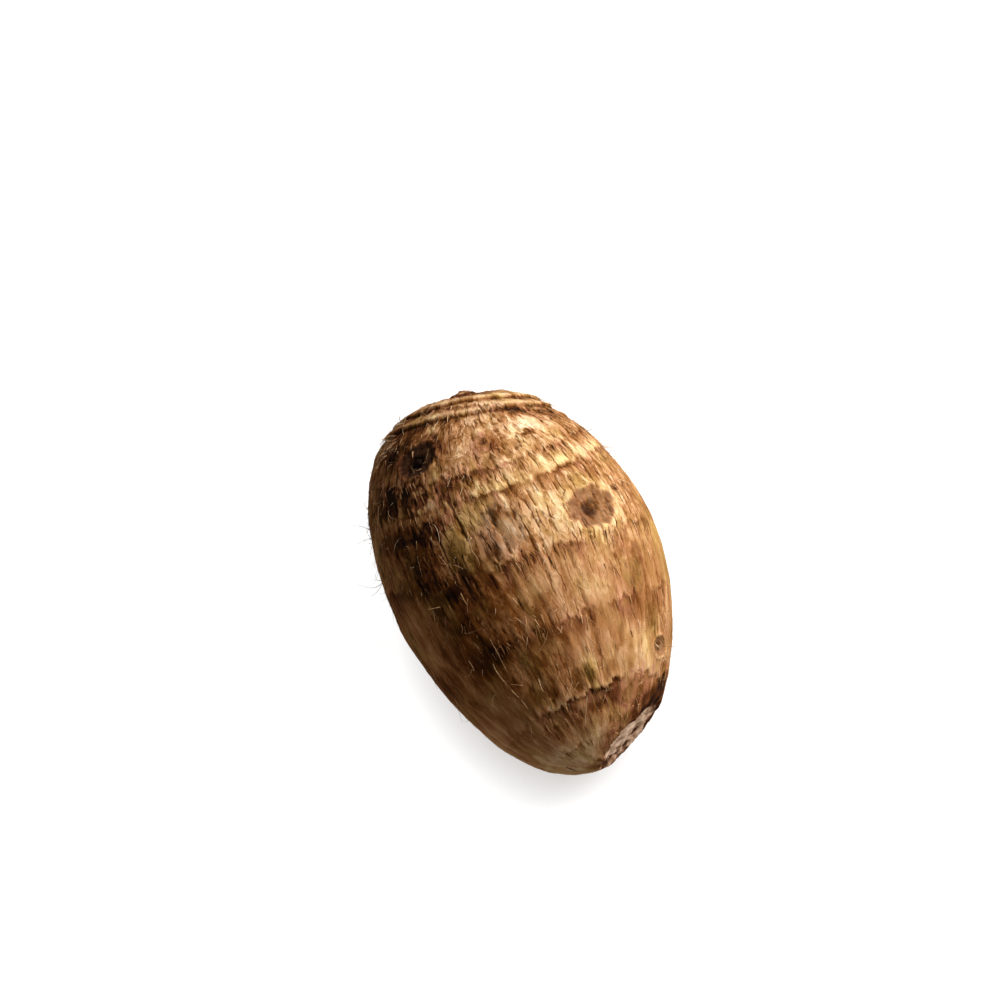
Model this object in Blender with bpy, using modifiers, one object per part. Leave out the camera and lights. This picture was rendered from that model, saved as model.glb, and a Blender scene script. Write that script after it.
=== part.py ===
"""A whole taro corm, lying free on its belly. Blender 4.5, metres, +Z up.

The corm lies along X: its crown (growing tip) points to -X and the end that broke off its
parent corm points to +X and a little down. The origin is under the middle of its bounding
box, on the surface it rests on. It grew as one piece, so it is one solid.

A place on the skin is given by its station, 0 at the crown and 1 at the root end, and by its
angle about the corm's axis, 0 on top and turning towards +Y.
"""

import math

import bmesh
import bpy
from mathutils import Matrix, Vector

# Outline of the egg-shaped body
LENGTH = 0.108
GIRTH_RADIUS = 0.036
WIDEST_STATION = 0.478
CROWN_CURVE, CROWN_FULLNESS = 1.82, 2.65
ROOT_CURVE, ROOT_FULLNESS = 1.67, 2.06
FLATTENING = 0.014
BOW_SIDE, BOW_UP = 0.0028, 0.0026

# How it lies
DIP = math.radians(12)
BELLY_PRESS = 0.0018

# Leaf-scar rings: station of the middle, lean of the ring's plane, angle it leans towards, height
RINGS = (
    (0.045, 0.10, 60, 0.0006),
    (0.062, 0.115, 42, 0.0007),
    (0.162, 0.14, 8, 0.0005),
    (0.241, 0.125, -4, 0.0005),
    (0.440, 0.11, 15, 0.0006),
    (0.640, 0.08, 6, 0.0005),
    (0.868, 0.00, 0, 0.0006),
)
RING_WIDTH = 0.0024

# Bud eyes: station, angle, radius, depth of the hollow
EYES = (
    (0.484, 26, 0.0069, 0.0010),
    (0.180, -31, 0.0054, 0.0014),
    (0.818, 52, 0.0035, 0.0008),
    (0.600, 118, 0.0055, 0.0010),
    (0.360, -118, 0.0055, 0.0012),
    (0.300, 150, 0.0050, 0.0010),
)

# Crown scar: station, angle, radius of its dish, depth of the dish, height of the bud in it
CROWN_SCAR = (0.020, 25, 0.0080, 0.0012)
BUD_RADIUS, BUD_HEIGHT = 0.0032, 0.0012

# Broken root end: direction it faces and how much of the tip it takes off
ROOT_SCAR_FACES = Vector((0.92, 0.38, -0.09)).normalized()
ROOT_SCAR_DEPTH = 0.0026

# Fineness of the mesh
ROWS, COLUMNS = 54, 76
MERGE = 0.00001
SLOPE_STEP = 0.001

SKIN_COLOUR = (0.30, 0.15, 0.06, 1.0)
SKIN_ROUGHNESS = 0.8


def clear_scene():
    """Take out whatever the file opened with."""
    for item in list(bpy.data.objects):
        bpy.data.objects.remove(item, do_unlink=True)


def girth(station):
    """Radius of the egg-shaped outline at a station."""
    if station < WIDEST_STATION:
        away = (WIDEST_STATION - station) / WIDEST_STATION
        curve, fullness = CROWN_CURVE, CROWN_FULLNESS
    else:
        away = (station - WIDEST_STATION) / (1 - WIDEST_STATION)
        curve, fullness = ROOT_CURVE, ROOT_FULLNESS
    return GIRTH_RADIUS * max(0.0, 1 - min(away, 1.0) ** curve) ** (1 / fullness)


def make_egg():
    """Turn the outline about Z: crown at the top, root end at the bottom."""
    points = []
    for row in range(ROWS + 1):
        station = 0.5 - 0.5 * math.cos(math.pi * row / ROWS)
        points.append((girth(station), 0.0, (0.5 - station) * LENGTH))
    outline = bpy.data.meshes.new("corm_outline")
    outline.from_pydata(points, [(row, row + 1) for row in range(ROWS)], [])
    turned = bpy.data.objects.new("corm_turned", outline)
    bpy.context.scene.collection.objects.link(turned)
    screw = turned.modifiers.new("turn", "SCREW")
    screw.axis = "Z"
    screw.steps = COLUMNS
    screw.render_steps = COLUMNS
    screw.use_merge_vertices = True
    screw.merge_threshold = MERGE
    bpy.context.view_layer.update()
    evaluated = turned.evaluated_get(bpy.context.evaluated_depsgraph_get())
    mesh = bpy.data.meshes.new_from_object(evaluated)
    bpy.data.objects.remove(turned, do_unlink=True)
    mesh.name = "corm"
    return mesh


def direction(angle):
    """Unit vector square to the axis at an angle from the top."""
    return Vector((0.0, math.sin(angle), math.cos(angle)))


def straight_point(station, angle, radius):
    """Place on the corm before it is bowed, with its axis along X."""
    return Vector(((station - 0.5) * LENGTH, 0, 0)) + direction(angle) * radius


def outward(station, angle):
    """Direction square to the smooth skin."""
    before = max(station - SLOPE_STEP, 0.0)
    after = min(station + SLOPE_STEP, 1.0)
    slope = (girth(after) - girth(before)) / ((after - before) * LENGTH)
    return (direction(angle) - Vector((slope, 0, 0))).normalized()


def ring_relief(station, angle, radius):
    """Raised lip on the crown side of each leaf scar, and a hollow on its root side."""
    height = 0.0
    for middle, lean, towards, lip in RINGS:
        tilt = lean * radius / GIRTH_RADIUS * math.cos(angle - math.radians(towards))
        across = (station - middle - tilt) * LENGTH / RING_WIDTH
        height -= lip * across * math.exp(0.5 - 0.5 * across * across)
    return height


def dish(place, centre, radius, depth):
    """Smooth hollow around a point."""
    reach = (place - centre).length / radius
    return -depth * math.exp(-reach ** 4)


def spot_relief(place):
    """Hollows of the bud eyes, and the crown scar with its bud."""
    height = 0.0
    for station, degrees, radius, depth in EYES:
        centre = straight_point(station, math.radians(degrees), girth(station))
        height += dish(place, centre, radius, depth)
    station, degrees, radius, depth = CROWN_SCAR
    crown = straight_point(station, math.radians(degrees), girth(station))
    height += dish(place, crown, radius, depth)
    return height + dish(place, crown, BUD_RADIUS, -BUD_HEIGHT)


def grown_point(station, angle, radius):
    """Place on the finished skin, bowed, with the axis still level."""
    smooth = straight_point(station, angle, radius)
    relief = ring_relief(station, angle, radius) + spot_relief(smooth)
    grown = smooth + outward(station, angle) * relief
    bow = 4 * station * (1 - station)
    side = grown.y * (1 + FLATTENING) + BOW_SIDE * bow
    up = grown.z * (1 - FLATTENING) + BOW_UP * bow
    return Vector((grown.x, side, up))


def shape_skin(shell):
    """Move each vertex of the turned egg to its grown place, root end dipping."""
    lay_down = Matrix.Rotation(DIP, 3, "Y")
    for vertex in shell.verts:
        station = 0.5 - vertex.co.z / LENGTH
        angle = math.atan2(vertex.co.y, vertex.co.x)
        radius = math.hypot(vertex.co.x, vertex.co.y)
        vertex.co = lay_down @ grown_point(station, angle, radius)


def break_root_end(shell):
    """Press the tip back to the flat face where the corm broke off its parent."""
    face = max(vertex.co.dot(ROOT_SCAR_FACES) for vertex in shell.verts) - ROOT_SCAR_DEPTH
    for vertex in shell.verts:
        beyond = vertex.co.dot(ROOT_SCAR_FACES) - face
        if beyond > 0:
            vertex.co -= ROOT_SCAR_FACES * beyond


def rest_on_belly(shell):
    """Stand the corm on z = 0, on the flat face that its belly has."""
    floor = min(vertex.co.z for vertex in shell.verts) + BELLY_PRESS
    for vertex in shell.verts:
        vertex.co.z = max(vertex.co.z - floor, 0.0)


def centre_on_origin(shell):
    """Bring the middle of the bounding box over the origin."""
    for axis in (0, 1):
        low = min(vertex.co[axis] for vertex in shell.verts)
        high = max(vertex.co[axis] for vertex in shell.verts)
        for vertex in shell.verts:
            vertex.co[axis] -= (low + high) / 2


def skin_material():
    """Dry brown skin."""
    material = bpy.data.materials.new("taro_skin")
    material.use_nodes = True
    shader = material.node_tree.nodes["Principled BSDF"]
    shader.inputs["Base Color"].default_value = SKIN_COLOUR
    shader.inputs["Roughness"].default_value = SKIN_ROUGHNESS
    shader.inputs["Metallic"].default_value = 0.0
    return material


def build_corm(collection):
    """Make the corm and put it in the collection."""
    mesh = make_egg()
    shell = bmesh.new()
    shell.from_mesh(mesh)
    shape_skin(shell)
    break_root_end(shell)
    rest_on_belly(shell)
    centre_on_origin(shell)
    bmesh.ops.recalc_face_normals(shell, faces=shell.faces)
    shell.to_mesh(mesh)
    shell.free()
    mesh.shade_smooth()
    mesh.materials.clear()
    mesh.materials.append(skin_material())
    corm = bpy.data.objects.new("corm", mesh)
    collection.objects.link(corm)
    return corm


def main():
    """Build the taro corm in its own collection."""
    clear_scene()
    collection = bpy.data.collections.new("taro_root")
    bpy.context.scene.collection.children.link(collection)
    build_corm(collection)


main()
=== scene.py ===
"""The look of a whole taro corm: ringed bark, bud eyes, dry fibres and a broken root end.

Metres, +Z up. A place on the skin is given by its station, 0 at the crown and 1 at the root
end, and by its angle about the corm's axis, 0 on top and turning towards +Y. The grain of the
bark runs along the corm, from the crown to the root end.
"""

import logging
import math
from dataclasses import dataclass, field, fields, replace
from enum import Enum
from functools import cached_property

import bpy
import numpy as np
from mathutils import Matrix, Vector, noise


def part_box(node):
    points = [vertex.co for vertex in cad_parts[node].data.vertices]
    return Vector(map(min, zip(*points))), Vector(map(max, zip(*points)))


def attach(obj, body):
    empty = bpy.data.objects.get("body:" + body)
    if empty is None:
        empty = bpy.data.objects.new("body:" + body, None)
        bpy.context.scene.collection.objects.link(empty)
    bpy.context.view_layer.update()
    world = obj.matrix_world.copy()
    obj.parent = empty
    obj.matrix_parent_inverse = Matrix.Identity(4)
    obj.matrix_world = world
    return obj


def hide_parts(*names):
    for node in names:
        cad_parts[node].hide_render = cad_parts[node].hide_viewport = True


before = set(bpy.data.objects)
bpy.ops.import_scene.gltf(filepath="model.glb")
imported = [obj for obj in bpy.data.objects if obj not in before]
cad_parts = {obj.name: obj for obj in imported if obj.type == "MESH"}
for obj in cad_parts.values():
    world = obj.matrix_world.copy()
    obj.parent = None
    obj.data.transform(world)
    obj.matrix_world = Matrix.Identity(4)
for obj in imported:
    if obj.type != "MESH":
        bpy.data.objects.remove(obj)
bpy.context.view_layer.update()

LOG = logging.getLogger("taro_root")
MM = 0.001
NODE = "corm"
BODY = "root"
SEED_STRIDE = 37.7


# ---------------------------------------------------------------- numbers over the skin


def fractal(points: np.ndarray, size: float | tuple, seed: int, octaves: int = 3) -> np.ndarray:
    """Give smooth random values, about -0.8 to 0.8.

    Args:
        points: Places, one row of three each.
        size: Size of the largest lumps, one length or one for each axis.
        seed: Picks the pattern.
        octaves: Number of finer layers.

    Returns:
        One value for each place.
    """
    shifted = points / np.asarray(size) + SEED_STRIDE * seed
    return np.array([noise.fractal(place, 1.0, 2.0, octaves) for place in shifted.tolist()])


def smoothstep(low: float, high: float, value: np.ndarray) -> np.ndarray:
    """Rise smoothly from 0 at low to 1 at high."""
    share = np.clip((value - low) / (high - low), 0, 1)
    return share * share * (3 - 2 * share)


def turned(angle: np.ndarray, centre: float) -> np.ndarray:
    """Angle from a centre, between minus and plus half a turn, in radians."""
    return (angle - centre + math.pi) % (2 * math.pi) - math.pi


@dataclass(frozen=True)
class Egg:
    """Smooth body of the corm, lying on its belly in the frame.

    Lengths are in metres. The shape is that of the solid it stands for.
    """

    length: float = 0.108
    girth_radius: float = 0.036
    widest: float = 0.478
    crown_curve: float = 1.82
    crown_fullness: float = 2.65
    root_curve: float = 1.67
    root_fullness: float = 2.06
    flattening: float = 0.014
    bow_side: float = 0.0028
    bow_up: float = 0.0026
    dip_degrees: float = 12.0
    belly_press: float = 0.0018
    scar_faces: tuple = (0.92, 0.38, -0.09)
    scar_depth: float = 0.0026
    bud_station: float = 0.020
    bud_degrees: float = 25.0
    bud_reach: tuple = (0.35, 1.30)
    grain_taper: float = 0.35
    samples: int = 3000
    coarse_samples: tuple = (200, 240)
    slope_step: float = 0.0004

    def girth(self, station: np.ndarray) -> np.ndarray:
        """Radius of the outline at each station.

        Args:
            station: Place along the axis.

        Returns:
            The radius there.
        """
        crown = station < self.widest
        away = np.where(crown, (self.widest - station) / self.widest,
                        (station - self.widest) / (1 - self.widest))
        curve = np.where(crown, self.crown_curve, self.root_curve)
        fullness = np.where(crown, self.crown_fullness, self.root_fullness)
        return self.girth_radius * np.clip(1 - np.clip(away, 0, 1) ** curve, 0, 1) ** (1 / fullness)

    def slope(self, station: np.ndarray) -> np.ndarray:
        """How fast the radius grows along the axis.

        Args:
            station: Place along the axis.

        Returns:
            Radius gained for each length of axis.
        """
        before = np.clip(station - self.slope_step, 0, 1)
        after = np.clip(station + self.slope_step, 0, 1)
        return (self.girth(after) - self.girth(before)) / ((after - before) * self.length)

    @cached_property
    def meridian(self) -> tuple[np.ndarray, np.ndarray]:
        """Stations from crown to root end, and the length of skin up to each.

        Returns:
            The stations and the lengths.
        """
        station = 0.5 - 0.5 * np.cos(np.linspace(0, math.pi, self.samples))
        step = np.hypot(np.diff(station) * self.length, np.diff(self.girth(station)))
        return station, np.concatenate([[0], np.cumsum(step)])

    @cached_property
    def whole(self) -> float:
        """Length of skin from the crown to the root end."""
        return self.meridian[1][-1]

    def skin_length(self, station: np.ndarray) -> np.ndarray:
        """Length of skin from the crown to each station."""
        return np.interp(station, *self.meridian)

    def station_at(self, share: np.ndarray) -> np.ndarray:
        """Station at a share, 0 to 1, of the skin's whole length."""
        stations, lengths = self.meridian
        return np.interp(share * self.whole, lengths, stations)

    def straight(self, station: np.ndarray, angle: np.ndarray) -> np.ndarray:
        """Places on the corm before it is bowed, with its axis along X.

        Args:
            station: Place along the axis.
            angle: Angle about the axis, in radians.

        Returns:
            One row of x, y and z for each.
        """
        radius = self.girth(station)
        return np.stack([(station - 0.5) * self.length, radius * np.sin(angle),
                         radius * np.cos(angle)], axis=-1)

    def lying(self, station: np.ndarray, angle: np.ndarray, height: np.ndarray) -> np.ndarray:
        """Places on the bowed, tipped corm, not yet broken off or set down.

        Args:
            station: Place along the axis.
            angle: Angle about the axis, in radians.
            height: How far the skin stands out.

        Returns:
            One row of x, y and z for each.
        """
        slope = self.slope(station)
        square = 1 / np.sqrt(1 + slope ** 2)
        along = (station - 0.5) * self.length - slope * square * height
        radius = self.girth(station) + square * height
        bow = 4 * station * (1 - station)
        side = radius * np.sin(angle) * (1 + self.flattening) + self.bow_side * bow
        up = radius * np.cos(angle) * (1 - self.flattening) + self.bow_up * bow
        dip = math.radians(self.dip_degrees)
        return np.stack([along * math.cos(dip) + up * math.sin(dip), side,
                         up * math.cos(dip) - along * math.sin(dip)], axis=-1)

    @cached_property
    def scar_normal(self) -> np.ndarray:
        """Direction that the broken end faces."""
        faces = np.array(self.scar_faces)
        return faces / np.linalg.norm(faces)

    @cached_property
    def settled(self) -> tuple[float, np.ndarray]:
        """Level of the broken face along its normal, and the move that sets the corm down.

        Returns:
            The level and the move.
        """
        rows, columns = self.coarse_samples
        station, angle = np.meshgrid(self.station_at(np.linspace(0, 1, rows)),
                                     np.linspace(-math.pi, math.pi, columns), indexing="ij")
        places = self.lying(station, angle, np.zeros_like(station)).reshape(-1, 3)
        level = (places @ self.scar_normal).max() - self.scar_depth
        beyond = np.maximum(places @ self.scar_normal - level, 0)
        places = places - beyond[:, None] * self.scar_normal
        low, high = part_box(NODE)
        middle = (places.min(0) + places.max(0)) / 2
        centre = (low + high) / 2
        floor = places[:, 2].min() + self.belly_press
        return level, np.array([centre.x - middle[0], centre.y - middle[1], low.z - floor])

    def place(self, station: np.ndarray, angle: np.ndarray, height: np.ndarray,
              scar_height: np.ndarray | float = 0.0) -> np.ndarray:
        """Finished places of the skin in the frame.

        Args:
            station: Place along the axis.
            angle: Angle about the axis, in radians.
            height: How far the skin stands out.
            scar_height: How far the broken face stands out, where the place is on it.

        Returns:
            One row of x, y and z for each.
        """
        level, move = self.settled
        places = self.lying(station, angle, height)
        beyond = np.maximum(places @ self.scar_normal - level - scar_height, 0)
        places = places - beyond[:, None] * self.scar_normal + move
        places[:, 2] = np.maximum(places[:, 2], 0)
        return places

    def beyond_scar(self, station: np.ndarray, angle: np.ndarray) -> np.ndarray:
        """How far each smooth place would stand past the broken face."""
        places = self.lying(station, angle, np.zeros_like(station))
        return places @ self.scar_normal - self.settled[0]

    def combed(self, station: np.ndarray, angle: np.ndarray) -> tuple[np.ndarray, np.ndarray]:
        """Turn places near the crown so that the bud comes to station 0.

        Args:
            station: Place along the axis.
            angle: Angle about the axis, in radians.

        Returns:
            Station and angle as the fibres run, which spread from the bud.
        """
        far = math.pi * self.skin_length(station) / self.whole
        bud = math.pi * self.skin_length(np.array(self.bud_station)) / self.whole
        turn = bud * (1 - smoothstep(*self.bud_reach, far))
        beside = turned(angle, math.radians(self.bud_degrees))
        towards = np.sin(far) * np.cos(beside)
        level = np.cos(far) * np.cos(turn) + towards * np.sin(turn)
        up = towards * np.cos(turn) - np.cos(far) * np.sin(turn)
        share = np.arccos(np.clip(level, -1, 1)) / math.pi
        around = np.arctan2(np.sin(far) * np.sin(beside), up)
        return self.station_at(share), turned(around, -math.radians(self.bud_degrees))

    def grain(self, station: np.ndarray, angle: np.ndarray) -> np.ndarray:
        """Places on a tube whose axis is the grain, for patterns that follow it.

        Args:
            station: Place along the axis.
            angle: Angle about the axis, in radians.

        Returns:
            One row for each, with the grain along the third axis.
        """
        station, angle = self.combed(station, angle)
        spread = self.girth_radius * (self.girth(station) / self.girth_radius) ** self.grain_taper
        return np.stack([spread * np.cos(angle), spread * np.sin(angle),
                         self.skin_length(station)], axis=-1)


# ---------------------------------------------------------------- features of the bark


@dataclass(frozen=True)
class Places:
    """Places on the skin. A shifted copy keeps its grain, so that its random lumps stay put."""

    egg: Egg
    station: np.ndarray
    angle: np.ndarray
    grain: np.ndarray

    @classmethod
    def on(cls, egg: Egg, station: np.ndarray, angle: np.ndarray) -> "Places":
        """Places of a corm, with their grain."""
        return cls(egg, station, angle, egg.grain(station, angle))

    @cached_property
    def radius(self) -> np.ndarray:
        """Radius of the outline there."""
        return self.egg.girth(self.station)

    @cached_property
    def down(self) -> np.ndarray:
        """Length of skin from the crown."""
        return self.egg.skin_length(self.station)

    @cached_property
    def share(self) -> np.ndarray:
        """Share of the skin's whole length, from the crown."""
        return self.down / self.egg.whole

    def beside(self, degrees: float) -> np.ndarray:
        """Angle from a line along the skin, in radians."""
        return turned(self.angle, math.radians(degrees))

    def past(self, station: float) -> np.ndarray:
        """Length of skin from a station, negative on its crown side."""
        return self.down - self.egg.skin_length(np.array(station))

    def combed(self) -> "Places":
        """Copy turned so that the bud is at station 0."""
        station, angle = self.egg.combed(self.station, self.angle)
        return replace(self, station=station, angle=angle)

    def lumps(self, across: float, along: float, seed: int, octaves: int = 3) -> np.ndarray:
        """Smooth random values that follow the grain. Their sizes are in millimetres."""
        return fractal(self.grain, (across * MM, across * MM, along * MM), seed, octaves)


@dataclass(frozen=True)
class Ring:
    """A leaf-scar ring. The bark on its crown side overlaps the bark on its root side.

    Its plane leans towards an angle, so its middle is a station and its edge runs up and down.
    The lip is the height of the overlap. The fringe darkens the root side as far as the teeth
    reach, the pale band lightens the crown side, and red tints both. It shows most at the loud
    angle, and on the other side by its quiet share. Comb is for a band crossed by fine cracks.
    """

    middle: float
    lean: float
    towards: float
    lip: float
    fringe: float
    teeth: float
    pale: float
    band: float
    red: float
    loud_angle: float = 0.0
    quiet: float = 1.0
    ragged: float = 1.0
    comb: float = 0.0

    def offset(self, at: Places) -> np.ndarray:
        """Distance from the ring's edge along the axis, negative on its crown side.

        Args:
            at: The places.

        Returns:
            One distance for each.
        """
        tilt = self.lean * at.radius / at.egg.girth_radius
        tilt = tilt * np.cos(at.angle - math.radians(self.towards))
        return (at.station - self.middle - tilt) * at.egg.length


@dataclass(frozen=True)
class Eye:
    """A bud eye: a dark disc with a raised rim, a crater and a small bud."""

    station: float
    angle: float
    radius: float
    depth: float
    dark: float


@dataclass(frozen=True)
class Patch:
    """A stain, scar, peeled place or patch of painted shade. Half sizes in millimetres, along and
    across the grain.
    """

    station: float
    angle: float
    along: float
    across: float
    tone: float
    red: float = 0.0
    ash: float = 0.0
    ochre: float = 0.0


# Station, lean and the angle it leans to, lip, fringe, teeth, pale, band, red, loud angle,
# quiet, ragged, comb
RINGS = (
    Ring(0.045, 0.10, 60, 0.0009, 0.34, 0.0018, 0.20, 0.0022, 0.3, 28, 1.0, 0.10),
    Ring(0.062, 0.115, 42, 0.0010, 0.34, 0.0022, 0.22, 0.0026, 0.4, 10, 0.6, 0.12),
    Ring(0.022, 0.19, 55, 0.0006, 0.26, 0.0026, 0.14, 0.0026, 0.9, 65, 0.1, 0.5),
    Ring(0.140, 0.175, 8, 0.0003, 0.32, 0.0028, 0.10, 0.0030, 1.0, 30, 0.3, 0.6),
    Ring(0.225, 0.144, 5, 0.0003, 0.30, 0.0022, 0.26, 0.0048, 0.8, 35, 0.0, 0.5, 1.0),
    Ring(0.340, 0.12, 5, 0.0002, 0.05, 0.0030, 0.02, 0.0030, 0.2, -60, 0.2),
    Ring(0.440, 0.11, 15, 0.0002, 0.22, 0.0050, 0.05, 0.0060, 0.7, -35, 0.1, 1.1),
    Ring(0.540, 0.10, 10, 0.0001, 0.04, 0.0030, 0.02, 0.0030, 0.1, 130, 0.2),
    Ring(0.640, 0.08, 6, 0.00015, 0.16, 0.0050, 0.03, 0.0050, 0.7, 25, 0.25, 1.0),
    Ring(0.760, 0.04, 0, 0.0001, 0.04, 0.0030, 0.02, 0.0030, 0.0, 150, 0.2),
    Ring(0.868, 0.00, 0, 0.0005, 0.28, 0.0050, 0.15, 0.0030, 1.0, 25, 0.05, 1.0),
    Ring(0.955, 0.00, 0, 0.0002, 0.08, 0.0030, 0.03, 0.0020, 0.0),
)

# Station, angle, radius, depth, how dark
EYES = (
    Eye(0.480, 25, 0.0071, 0.0012, 0.22),
    Eye(0.183, -36, 0.0058, 0.0012, 0.56),
    Eye(0.818, 52, 0.0032, 0.0009, 0.22),
    Eye(0.442, 42, 0.0015, 0.0005, 0.22),
    Eye(0.225, -3, 0.0013, 0.0004, 0.30),
    Eye(0.600, 118, 0.0055, 0.0010, 0.20),
    Eye(0.360, -118, 0.0055, 0.0012, 0.24),
    Eye(0.300, 150, 0.0050, 0.0010, 0.20),
)

# Station, angle, half size along and across the grain, tone, red, ash, ochre
YELLOWISH = (
    (0.385, -22, 4.5, 5.0, 0.00, 0.0, 0.0, 1.0), (0.445, -34, 7.0, 4.5, 0.04, 0.0, 0.0, 1.0),
    (0.480, 25, 10.5, 10.0, 0.04, 0.0, 0.0, 0.8), (0.600, 66, 12.0, 6.0, 0.00, 0.0, 0.0, 0.7),
    (0.915, 36, 3.0, 7.0, 0.04, 0.8, 0.0, 0.5),
)
GREYISH = (
    (0.420, 128, 7.0, 6.0, -0.18, 0.2, 0.5), (0.455, -15, 7.5, 7.0, -0.13, 0.2, 0.6),
    (0.720, -150, 9.0, 8.0, -0.16, 0.2, 0.4),
)
RUDDY = (
    (0.160, -26, 3.0, 3.5, -0.12, 0.8), (0.185, -42, 8.5, 13.0, -0.18, 0.4),
    (0.205, -40, 4.0, 4.5, -0.22, 0.3), (0.215, -66, 2.2, 7.0, -0.20, 0.3),
    (0.225, -3, 3.4, 3.6, -0.05, 1.0), (0.243, 18, 1.2, 2.4, -0.34, 0.4),
    (0.250, -57, 3.0, 9.0, -0.40, 0.3), (0.250, 105, 5.0, 8.0, 0.14, 0.2),
    (0.265, -14, 4.0, 9.0, -0.08, 0.4), (0.287, -44, 2.6, 5.0, -0.40, 0.9),
    (0.300, -30, 3.0, 5.0, -0.18, 0.7), (0.312, -72, 2.6, 7.0, -0.20, 0.3),
    (0.318, -26, 2.6, 4.0, -0.28, 0.5), (0.345, -57, 3.4, 7.0, -0.28, 0.2),
    (0.367, -34, 2.4, 3.0, -0.14, 0.5), (0.375, -43, 3.4, 5.0, -0.30, 0.7),
    (0.610, 40, 3.5, 2.6, -0.14, 0.6), (0.870, 34, 3.0, 7.0, 0.04, 0.9),
    (0.870, 64, 5.0, 5.0, -0.14, 0.5), (0.900, 20, 3.0, 9.0, -0.12, 0.5),
    (0.935, 60, 3.0, 6.0, -0.12, 0.8), (0.957, 2, 4.0, 5.0, 0.12, 0.3),
)
PALER = (
    (0.128, 8, 3.0, 6.0, 0.14), (0.130, 28, 2.5, 5.0, 0.12), (0.140, 10, 3.5, 5.0, 0.16),
    (0.182, -55, 3.0, 3.0, 0.08), (0.200, 22, 5.0, 10.0, 0.16), (0.215, 19, 2.8, 4.8, 0.22),
    (0.255, 11, 3.0, 5.0, 0.10), (0.272, -29, 2.0, 3.0, 0.12), (0.300, -95, 6.0, 7.0, 0.12),
    (0.320, 25, 4.2, 24.0, 0.10), (0.366, -1, 3.0, 3.0, 0.10), (0.383, -12, 3.0, 4.0, 0.22),
    (0.386, 24, 3.0, 5.0, 0.08), (0.450, -12, 4.0, 2.0, 0.08), (0.450, 4, 8.0, 5.0, 0.18),
    (0.454, -8, 3.0, 3.0, 0.10), (0.475, 27, 8.5, 10.5, 0.08), (0.480, -9, 3.0, 2.5, 0.10),
    (0.484, 13, 5.0, 3.0, 0.10), (0.491, -10, 4.0, 3.0, 0.10), (0.492, -51, 3.0, 3.0, 0.10),
    (0.541, -37, 3.0, 3.0, 0.12), (0.543, 29, 3.5, 7.0, 0.12), (0.544, -54, 6.0, 4.0, 0.12),
    (0.552, -54, 3.0, 3.0, 0.08), (0.560, 48, 3.0, 7.0, 0.10), (0.560, 66, 6.0, 4.0, 0.10),
    (0.560, 100, 9.0, 7.0, 0.14), (0.570, 16, 4.0, 2.2, 0.08), (0.586, -5, 4.0, 3.0, 0.10),
    (0.620, 15, 6.0, 20.0, 0.04), (0.640, -120, 8.0, 7.0, 0.12), (0.660, -44, 3.0, 3.0, 0.10),
    (0.688, -75, 7.0, 4.0, 0.12), (0.725, -24, 4.0, 3.0, 0.12), (0.740, 140, 8.0, 9.0, 0.12),
    (0.790, -68, 8.0, 6.0, 0.08), (0.800, -95, 12.0, 9.0, 0.10), (0.800, 30, 5.0, 5.0, 0.10),
    (0.812, -3, 3.0, 3.0, 0.05), (0.830, 14, 3.0, 4.0, 0.12), (0.856, 24, 2.0, 4.0, 0.12),
    (0.870, -3, 2.0, 3.0, 0.12), (0.880, -38, 3.0, 4.0, 0.12), (0.968, -66, 9.0, 26.0, 0.12),
    (0.970, -66, 6.0, 14.0, 0.12),
)
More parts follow.
